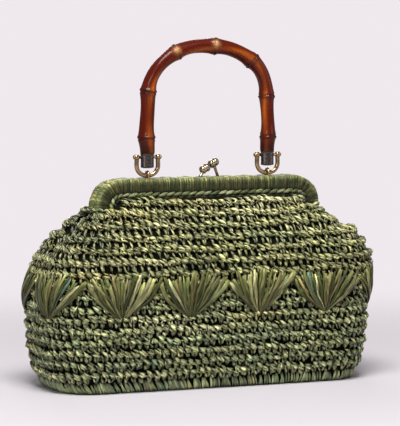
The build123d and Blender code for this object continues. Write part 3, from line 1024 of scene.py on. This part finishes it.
class RAFFIA_OT_hardware(bpy.types.Operator):
    """Eyes, shackles, pins, clasp fingers and the plated CAD parts"""

    bl_idname = "raffia.hardware"
    bl_label = "Clasp and Handle Hardware"

    def execute(self, context):
        colours = context.scene.raffia_bag_colours
        gold = plated_material("worn_gold_plate", colours.gold, 0.14, 0.3, 0.1)
        clasp = plated_material("pale_gold_plate", colours.clasp, 0.1, 0.24, 0.08)
        nickel = plated_material("dark_nickel_plate", colours.ferrule, 0.18, 0.32, 0.06)
        steel = plated_material("nickel_plated_steel", colours.steel, 0.25, 0.45, 0.2)
        depth = -FRAME_OFFSET
        for name, end in (("left", -1), ("right", 1)):
            middle = end * HANDLE_HALF_SPACING
            self.eye(f"{name}_frame_eye", middle, depth, gold)
            self.shackle(name, middle, depth, gold)
            self.ferrule(name, middle, depth, nickel)
        for name in ("front_frame_bar", "rear_frame_bar", "hinge_rivets"):
            paint_solid(name, steel)
        self.finger("front_clasp_finger", *FRONT_FINGER, clasp, "bag")
        self.finger("rear_clasp_finger", *REAR_FINGER, clasp, "rear_frame")
        return {"FINISHED"}

    def eye(self, node, middle, depth, material):
        """Eye: wire up, half round and down again, standing on the frame."""
        turn = np.linspace(0, np.pi, 13)
        y = np.concatenate(([-EYE_RADIUS], -EYE_RADIUS * np.cos(turn), [EYE_RADIUS])) + depth
        z = np.concatenate(([FRAME_TOP], EYE_AXIS + EYE_RADIUS * np.sin(turn), [FRAME_TOP]))
        line = np.stack((np.full(len(y), float(middle)), y, z), -1)
        wire = bent_wire(line, (1, 0, 0), EYE_WIRE)
        piece = put_piece(node.replace("frame_eye", "wire_eye"), material, *wire[:2])
        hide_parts(node)
        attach(piece, "bag")

    def shackle(self, name, middle, depth, material):
        """Shackle: arms, quarter turns and a short flat as one wire, two turned ears, and the turned pin."""
        bow = SHACKLE_HALF_WIDTH - SHACKLE_FLAT / 2
        turn = np.linspace(0, np.pi / 2, 12)
        arm = np.linspace(0.25, 1, 4)
        bow_top = EYE_AXIS + bow
        right_x = np.concatenate((SHACKLE_FLAT / 2 + bow * np.sin(turn), SHACKLE_HALF_WIDTH - 0.4 * arm**2))
        arm_z = bow_top + (PIN_HEIGHT - bow_top) * arm
        right_z = np.concatenate((EYE_AXIS + bow * (1 - np.cos(turn)), arm_z))
        x = np.concatenate((-right_x[::-1], right_x)) + middle
        z = np.concatenate((right_z[::-1], right_z))
        line = np.stack((x, np.full(len(x), depth), z), -1)
        parts = [bent_wire(line, DEPTHWAYS, SHACKLE_WIRE, 14)]
        edge = 0.5
        ear_places = (-EAR_HALF, -EAR_HALF + edge, EAR_HALF - edge, EAR_HALF)
        ear_radii = (EAR_RADIUS - edge, EAR_RADIUS, EAR_RADIUS, EAR_RADIUS - edge)
        for arm in (-1, 1):
            start = (middle + arm * SHACKLE_HALF_WIDTH, depth, PIN_HEIGHT)
            parts.append(turned_part(start, (1, 0, 0), ear_places, ear_radii))
        body = f"{name}_shackle_link"
        piece = put_piece(f"{name}_horseshoe", material, *joined(parts)[:2])
        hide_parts(f"{name}_shackle")
        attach(piece, body)
        face = SHACKLE_HALF_WIDTH + EAR_HALF
        rise, radius = dome(PIN_HEAD, PIN_HEAD_RADIUS)
        positions = np.concatenate((-face - PIN_HEAD + rise, (-face, face), face + PIN_HEAD - rise[::-1]))
        radii = np.concatenate((radius, (PIN_RADIUS, PIN_RADIUS), radius[::-1]))
        pin = turned_part((middle, depth, PIN_HEIGHT), (1, 0, 0), positions, radii)
        piece = put_piece(f"{name}_cross_pin", material, *pin[:2])
        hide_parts(f"{name}_shackle_pin")
        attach(piece, body)

    def ferrule(self, name, middle, depth, material):
        """Ferrule: an oval block up the cane's end, with a rounded foot, shallow grooves and a lip on top.

        Every height carries an ellipse, made smaller by the grooves' sine, larger by the lip, and then scaled
        by the foot's rounding.
        """
        sides = 40
        height = np.linspace(FERRULE_BOTTOM, BAMBOO_END + 0.3, 56)
        up = height - FERRULE_BOTTOM
        rounding = np.sqrt(1 - (1 - np.clip(up / 1.2, 0.04, 1)) ** 2)
        grooves = -0.22 * np.sin(np.pi * np.clip((up - 1.9) / 1.3, 0, 8)) ** 2
        lip = 0.3 * smooth_step(12.6, 13.0, up)
        turn = full_turn(sides)
        wide = (FERRULE_WIDTH / 2 + grooves + lip) * rounding
        deep = (FERRULE_DEPTH / 2 + grooves + lip) * rounding
        x = middle + wide[:, None] * np.cos(turn)
        y = depth + deep[:, None] * np.sin(turn)
        points = np.stack((x, y, height[:, None] + 0 * x), -1)[None]
        piece = put_piece(f"{name}_end_block", material, points, quads_of_tubes(points))
        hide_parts(f"{name}_ferrule")
        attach(piece, "handle")

    def finger(self, node, foot, start, tip, material, body):
        """Clasp finger: a tapered stem to the middle of a turned barrel with round ends and a waist."""
        foot, start, tip = (np.array(point, float) for point in (foot, start, tip))
        middle = (start + tip) / 2
        stem = np.linalg.norm(middle - foot)
        barrel = np.linalg.norm(tip - start)
        rise, radius = dome(3.4, BARREL_RADIUS, 8)
        waist = barrel / 2 + np.array((-1.3, -1.0, 1.0, 1.3))
        positions = np.concatenate((rise, waist, barrel - rise[::-1]))
        waist_radii = (BARREL_RADIUS, WAIST_RADIUS, WAIST_RADIUS, BARREL_RADIUS)
        radii = np.concatenate((radius, waist_radii, radius[::-1]))
        parts = (
            turned_part(foot, middle - foot, (0, 0.4 * stem, stem), (1.6, 1.4, 1.6), 12),
            turned_part(start, tip - start, positions, radii, 20),
        )
        piece = put_piece(node.replace("finger", "knob"), material, *joined(parts)[:2])
        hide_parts(node)
        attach(piece, body)


def handle_line(run):
    """Point and outward direction of the arched handle at a run along it from its left end, and its length.

    A leg, a corner arc, a crown arc, a corner arc and a leg, each tangent to the next.
    """
    sine, cosine = np.sin(HANDLE_TURN), np.cos(HANDLE_TURN)
    crown = (HANDLE_HALF_SPACING * sine - HANDLE_RISE * (1 - cosine)) / (sine + cosine - 1)
    corner = (HANDLE_RISE - crown * (1 - sine)) / sine
    corner_run = corner * HANDLE_TURN
    crown_run = crown * (np.pi - 2 * HANDLE_TURN)
    first = HANDLE_LEG
    second = first + corner_run
    third = second + crown_run
    length = third + corner_run + HANDLE_LEG

    def heading(place):
        corners = np.clip(place - first, 0, corner_run) + np.clip(place - third, 0, corner_run)
        return corners / corner + np.clip(place - second, 0, crown_run) / crown

    # The line is the sum of its own direction, taken in fine steps.
    steps = 4000
    fine = np.linspace(0, length, steps + 1)
    fine_angle = heading(fine)
    angle = heading(run)
    x, z = (
        np.interp(run, fine, np.concatenate(([0], np.cumsum(0.5 * (wave[1:] + wave[:-1]) * length / steps))))
        for wave in (np.sin(fine_angle), np.cos(fine_angle))
    )
    place = np.stack((x - HANDLE_HALF_SPACING, np.full(len(run), -FRAME_OFFSET), z + BAMBOO_END), -1)
    return place, np.stack((-np.cos(angle), 0 * angle, np.sin(angle)), -1), length


def bamboo_material():
    """Varnished bamboo cane: heated to bend, stained red-brown and lacquered.

    The stain is dark at the nodes and where the flame touched, amber along the ridges, and the lacquer is
    glossy. The stain comes from the cane's own colour attribute.
    """
    material, tree, output = new_material("varnished_bamboo")
    dye_and_painted_light = add_node(tree, "ShaderNodeAttribute", {"attribute_name": "dye_and_painted_light"})
    fibre = add_node(tree, "ShaderNodeAttribute", {"attribute_name": "fibre"})
    # Fibres are about 0.6 mm wide and run the length of the cane.
    grain_place = add_node(
        tree, "ShaderNodeMapping", {}, {"Scale": (1.6, 1.6, 0.05)}, {"Vector": fibre.outputs["Vector"]}
    )
    grain = add_node(
        tree,
        "ShaderNodeTexNoise",
        {},
        {"Scale": 1.0, "Detail": 4.0, "Roughness": 0.65},
        {"Vector": grain_place.outputs["Vector"]},
    )
    shade = add_node(
        tree,
        "ShaderNodeMapRange",
        {},
        {"From Min": 0.3, "From Max": 0.7, "To Min": 0.6, "To Max": 1.4},
        {"Value": grain.outputs["Fac"]},
    )
    tinted = add_node(
        tree,
        "ShaderNodeVectorMath",
        {"operation": "SCALE"},
        {},
        {0: dye_and_painted_light.outputs["Color"], "Scale": shade.outputs["Result"]},
    )
    bump = add_node(
        tree, "ShaderNodeBump", {}, {"Strength": 0.15, "Distance": 0.0003}, {"Height": grain.outputs["Fac"]}
    )
    surface = add_node(
        tree,
        "ShaderNodeBsdfPrincipled",
        {},
        {
            "Roughness": 0.35,
            "IOR": 1.5,
            "Specular IOR Level": 0.08,
            "Coat Weight": 0.22,
            "Coat Roughness": 0.05,
        },
        {"Base Color": tinted.outputs["Vector"], "Normal": bump.outputs["Normal"]},
    )
    tree.links.new(surface.outputs["BSDF"], output.inputs["Surface"])
    return material


class RAFFIA_OT_handle(bpy.types.Operator):
    """Bamboo cane bent to an arch"""

    bl_idname = "raffia.handle"
    bl_label = "Bamboo Handle"

    def execute(self, context):
        material = bamboo_material()
        _, _, length = handle_line(np.array([0.0]))
        sides = 36
        run = np.linspace(0, length, 460)
        turn = full_turn(sides)
        line, away, _ = handle_line(run)
        # The cane bends a little at every node, first out and then in, as a cosine between one and the next.
        reach = np.interp(run, BAMBOO_NODES, np.arange(len(BAMBOO_NODES)))
        held = smooth_step(2, 14, run) * smooth_step(length - 2, length - 14, run)
        crook = 0.7 * np.cos(np.pi * reach) * held
        line = line + away * crook[:, None]
        # Radius: the cane, a swelling and a sharp ring at every node, and slow unevenness round and along it.
        from_node = run[:, None] - BAMBOO_NODES
        swelling = (0.8 * np.exp(-((from_node / 3.4) ** 2)) + 0.75 * np.exp(-((from_node / 9) ** 2))).sum(1)
        lip, groove = np.exp(-(((from_node - 1.2) / 0.8) ** 2)), np.exp(-(((from_node + 0.8) / 0.6) ** 2))
        ring = (0.45 * lip - 0.5 * groove).sum(1)
        uneven = 0.3 * np.sin(run[:, None] * 0.05 + 2 * turn) + 0.2 * np.sin(run[:, None] * 0.13 - 3 * turn)
        scar_node = BAMBOO_NODES[[2, 3, 1, 4]]
        scar_turn = np.array((5.1, 5.0, 4.7, 5.0))
        turned_from = (turn[:, None] - scar_turn + np.pi) % (2 * np.pi) - np.pi
        scar_run = run[:, None, None] - scar_node
        scars = np.exp(-((scar_run / SCAR_SIZE) ** 2) - (turned_from * GRAIN_RADIUS / SCAR_SIZE) ** 2)
        radius = CANE_RADIUS + (swelling + ring)[:, None] + uneven + 0.7 * scars.sum(2)
        across = away[:, None] * np.cos(turn)[:, None] + DEPTHWAYS * np.sin(turn)[:, None]
        points = (line[:, None] + across * radius[..., None])[None]
        # Stain: red-brown, an amber ridge that wanders round the cane, dark nodes and pale branch scars.
        ridge_turn = 4.3 + 0.45 * np.sin(run * 0.045)
        ridge = np.exp(-((((turn - ridge_turn[:, None] + np.pi) % (2 * np.pi) - np.pi) / 0.34) ** 2))
        ridge = ridge * (0.75 + 0.45 * np.sin(run * 0.11 + 1))[:, None]
        dark = np.exp(-((from_node / 2.2) ** 2)).sum(1)[:, None, None] * 0.55
        ends = 1 - 0.6 * smooth_step(14, 4, run) - 0.6 * smooth_step(length - 14, length - 4, run)
        brown, amber, pale, black = (np.array(linear(code)) for code in CANE_STAINS)
        stain = brown + (amber - brown) * (0.65 * ridge)[..., None]
        stain = stain + (black - stain) * np.clip(dark, 0, 1)
        stain = stain * ends[:, None, None]
        stain = stain + (pale - stain) * np.clip(0.85 * scars[..., :2].sum(2), 0, 1)[..., None]
        grain_place = (GRAIN_RADIUS * np.cos(turn), GRAIN_RADIUS * np.sin(turn), run[:, None])
        fibre = np.stack(np.broadcast_arrays(*grain_place), -1)
        cane = put_piece("bamboo_cane", material, points, quads_of_tubes(points), stain[None], fibre[None])
        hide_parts("bamboo_handle")
        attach(cane, "handle")
        return {"FINISHED"}


def cotton_material(colour):
    """Plain cotton: a tabby weave of matt yarn, which gives fine lines and a soft uneven tone."""
    material, tree, output = new_material("plain_cotton")
    place = add_node(tree, "ShaderNodeTexCoord")
    # Threads are 0.5 mm apart, drawn about 2.5 mm apart so that they show.
    weave = add_node(
        tree,
        "ShaderNodeTexWave",
        {"bands_direction": "DIAGONAL"},
        {"Scale": 160.0, "Distortion": 1.0},
        {"Vector": place.outputs["Object"]},
    )
    slubs = add_node(
        tree, "ShaderNodeTexNoise", {}, {"Scale": 90.0, "Detail": 3.0}, {"Vector": place.outputs["Object"]}
    )
    tint = add_node(
        tree,
        "ShaderNodeMix",
        {"data_type": "RGBA"},
        {6: (*(0.7 * c for c in colour), 1), 7: (*(1.15 * c for c in colour), 1)},
        {"Factor": slubs.outputs["Fac"]},
    )
    bump = add_node(
        tree, "ShaderNodeBump", {}, {"Strength": 0.3, "Distance": 0.0004}, {"Height": weave.outputs["Fac"]}
    )
    surface = add_node(
        tree,
        "ShaderNodeBsdfPrincipled",
        {},
        {"Roughness": 0.9, "Sheen Weight": 0.15},
        {"Base Color": tint.outputs[2], "Normal": bump.outputs["Normal"]},
    )
    tree.links.new(surface.outputs["BSDF"], output.inputs["Surface"])
    return material


def board_material(colour):
    """Grey board: pressed waste paper, matt with darker flecks."""
    material, tree, output = new_material("grey_board")
    place = add_node(tree, "ShaderNodeTexCoord")
    # Flecks are about 2 mm.
    flecks = add_node(
        tree, "ShaderNodeTexNoise", {}, {"Scale": 500.0, "Detail": 5.0}, {"Vector": place.outputs["Object"]}
    )
    tint = add_node(
        tree,
        "ShaderNodeMix",
        {"data_type": "RGBA"},
        {6: (*(0.6 * c for c in colour), 1), 7: (*(1.2 * c for c in colour), 1)},
        {"Factor": flecks.outputs["Fac"]},
    )
    surface = add_node(
        tree, "ShaderNodeBsdfPrincipled", {}, {"Roughness": 0.95}, {"Base Color": tint.outputs[2]}
    )
    tree.links.new(surface.outputs["BSDF"], output.inputs["Surface"])
    return material


class RAFFIA_OT_lining(bpy.types.Operator):
    """Sewn cotton lining and the board under it"""

    bl_idname = "raffia.lining"
    bl_label = "Lining and Base Board"

    def execute(self, context):
        colours = context.scene.raffia_bag_colours
        material = cotton_material(colours.lining)
        # A thin bag: outside up from the floor, over the hem and down inside, with soft upright folds.
        rings, foot, hem = 50, 7, 160
        outside, thick = -7.1, 0.9
        share = (np.arange(BAG_SIDES) + 0.5) / BAG_SIDES
        rise = np.linspace(foot, hem, rings)
        height = np.concatenate((rise, rise[::-1]))[:, None]
        height[-1] = foot + thick
        fold = 0.8 * np.sin(share * 2 * np.pi * 23 + 1.5 * np.sin(share * 31)) * smooth_step(20, 120, height)
        growth = np.repeat((outside, outside - thick), rings)[:, None] + fold
        points = bag_point(share[None], height, growth)[None]
        lining = put_piece("cotton_lining", material, points, quads_of_tubes(points))
        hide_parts("lining")
        turn_with_frame(lining)
        paint_solid("base_board", board_material(colours.board))
        return {"FINISHED"}


def paper_material(backdrop):
    """Seamless paper: matt, and past about a metre it is as bright as the background behind it."""
    material, tree, output = new_material("seamless_paper")
    place = add_node(tree, "ShaderNodeTexCoord")
    path = add_node(tree, "ShaderNodeLightPath")
    distance = add_node(
        tree, "ShaderNodeVectorMath", {"operation": "LENGTH"}, {}, {0: place.outputs["Object"]}
    )
    far = add_node(
        tree,
        "ShaderNodeMapRange",
        {"interpolation_type": "SMOOTHSTEP"},
        {"From Min": 0.25, "From Max": 0.85},
        {"Value": distance.outputs["Value"]},
    )
    matt = add_node(tree, "ShaderNodeBsdfDiffuse", {}, {"Color": (*(0.64 * c for c in backdrop), 1)})
    glow = add_node(tree, "ShaderNodeEmission", {}, {"Color": (*backdrop, 1), "Strength": 1.0})
    mirrored = add_node(
        tree, "ShaderNodeMath", {"operation": "MULTIPLY"}, {1: 0.3}, {0: path.outputs["Is Glossy Ray"]}
    )
    seen = add_node(
        tree,
        "ShaderNodeMath",
        {"operation": "MAXIMUM"},
        {},
        {0: path.outputs["Is Camera Ray"], 1: mirrored.outputs["Value"]},
    )
    mixed = add_node(
        tree,
        "ShaderNodeMath",
        {"operation": "MULTIPLY"},
        {},
        {0: far.outputs["Result"], 1: seen.outputs["Value"]},
    )
    sweep = add_node(
        tree,
        "ShaderNodeMixShader",
        {},
        {},
        {0: mixed.outputs["Value"], 1: matt.outputs["BSDF"], 2: glow.outputs["Emission"]},
    )
    tree.links.new(sweep.outputs["Shader"], output.inputs["Surface"])
    return material


def studio_world(backdrop):
    """Soft light all round.

    The camera, and whatever is seen through clear things, gets the paper's own colour instead, and mirrors
    get a fifth of it.
    """
    world = bpy.data.worlds.new("studio")
    world.use_nodes = True
    world.node_tree.nodes.clear()
    tree = world.node_tree
    path = add_node(tree, "ShaderNodeLightPath")
    clear = add_node(
        tree,
        "ShaderNodeMath",
        {"operation": "MAXIMUM"},
        {},
        {0: path.outputs["Is Camera Ray"], 1: path.outputs["Is Transmission Ray"]},
    )
    half = add_node(
        tree, "ShaderNodeMath", {"operation": "MULTIPLY"}, {1: 0.2}, {0: path.outputs["Is Glossy Ray"]}
    )
    shown = add_node(
        tree,
        "ShaderNodeMath",
        {"operation": "MAXIMUM"},
        {},
        {0: clear.outputs["Value"], 1: half.outputs["Value"]},
    )
    room = add_node(tree, "ShaderNodeBackground", {}, {"Color": (1.0, 0.98, 0.97, 1), "Strength": 0.15})
    paper_light = add_node(tree, "ShaderNodeBackground", {}, {"Color": (*backdrop, 1), "Strength": 1.0})
    either = add_node(
        tree,
        "ShaderNodeMixShader",
        {},
        {},
        {0: shown.outputs["Value"], 1: room.outputs["Background"], 2: paper_light.outputs["Background"]},
    )
    sky = add_node(tree, "ShaderNodeOutputWorld", {}, {}, {"Surface": either.outputs["Shader"]})
    sky.is_active_output = True
    return world


class RAFFIA_OT_stage(bpy.types.Operator):
    """Pale floor, soft light and the camera"""

    bl_idname = "raffia.stage"
    bl_label = "Stage"

    def execute(self, context):
        scene = context.scene
        backdrop = tuple(scene.raffia_bag_colours.backdrop)
        # The floor lies just under the bag's foot.
        grid = np.array((-6000.0, 6000.0))
        corners = np.stack((*np.meshgrid(grid, grid, indexing="ij"), np.full((2, 2), -0.3)), -1)
        floor = put_piece("floor", paper_material(backdrop), corners, np.array([[0, 2, 3, 1]]))
        scene.world = studio_world(backdrop)

        aim = Vector((0, 0, 0.12))
        # Name, place, size in metres and power in watts.
        lamps = (
            ("overhead_softbox", (-0.3, -0.75, 1.5), 0.8, 38),
            ("left_softbox", (-1.3, -1.6, 0.9), 0.6, 9),
            ("right_fill", (1.6, -0.8, 0.8), 1.0, 5),
            ("rear_fill", (0.4, 1.6, 1.0), 1.0, 12),
        )
        for name, spot, size, power in lamps:
            light = bpy.data.lights.new(name, "AREA")
            light.size = size
            light.energy = power
            lamp = bpy.data.objects.new(name, light)
            lamp.location = spot
            lamp.rotation_euler = (aim - Vector(spot)).to_track_quat("-Z", "Y").to_euler()
            scene.collection.objects.link(lamp)

        # The photograph is taken with a long lens from a little above the frame's height.
        camera = bpy.data.objects.new("camera", bpy.data.cameras.new("camera"))
        camera.data.lens = 201.5
        camera.data.sensor_width = 36
        camera.data.clip_end = 50
        turn = scene.raffia_bag_sizes.view_turn
        tilt, distance = np.radians(4.4), 2.234
        target = Vector((-0.0045, 0.0018, 0.1572))
        back = Vector((np.sin(turn) * np.cos(tilt), -np.cos(turn) * np.cos(tilt), np.sin(tilt)))
        camera.location = target + back * distance
        camera.rotation_euler = back.to_track_quat("Z", "Y").to_euler()
        scene.collection.objects.link(camera)
        scene.camera = camera
        scene.view_settings.view_transform = "Standard"
        return {"FINISHED"}


class RAFFIA_PT_panel(bpy.types.Panel):
    """Lists the bag's pieces, sizes and colours"""

    bl_idname = "RAFFIA_PT_panel"
    bl_label = "Raffia Bag"
    bl_space_type = "VIEW_3D"
    bl_region_type = "UI"
    bl_category = "Raffia Bag"

    def draw(self, context):
        for operator in OPERATORS:
            self.layout.operator(operator.bl_idname)
        for group in (context.scene.raffia_bag_sizes, context.scene.raffia_bag_colours):
            for name in group.__annotations__:
                self.layout.prop(group, name)


OPERATORS = (
    RAFFIA_OT_ground,
    RAFFIA_OT_stitches,
    RAFFIA_OT_fans,
    RAFFIA_OT_winding,
    RAFFIA_OT_hardware,
    RAFFIA_OT_handle,
    RAFFIA_OT_lining,
    RAFFIA_OT_stage,
)
CLASSES = (RaffiaBagSizes, RaffiaBagColours) + OPERATORS + (RAFFIA_PT_panel,)


def register():
    """Register the classes and give the scene its sizes and colours."""
    for item in CLASSES:
        bpy.utils.register_class(item)
    bpy.types.Scene.raffia_bag_sizes = bpy.props.PointerProperty(type=RaffiaBagSizes)
    bpy.types.Scene.raffia_bag_colours = bpy.props.PointerProperty(type=RaffiaBagColours)


def unregister():
    """Take away what register added."""
    del bpy.types.Scene.raffia_bag_colours
    del bpy.types.Scene.raffia_bag_sizes
    for item in reversed(CLASSES):
        bpy.utils.unregister_class(item)


def main():
    """Build every piece in order."""
    register()
    bpy.ops.raffia.ground()
    bpy.ops.raffia.stitches()
    bpy.ops.raffia.fans()
    bpy.ops.raffia.winding()
    bpy.ops.raffia.hardware()
    bpy.ops.raffia.handle()
    bpy.ops.raffia.lining()
    bpy.ops.raffia.stage()


if __name__ == "__main__":
    main()
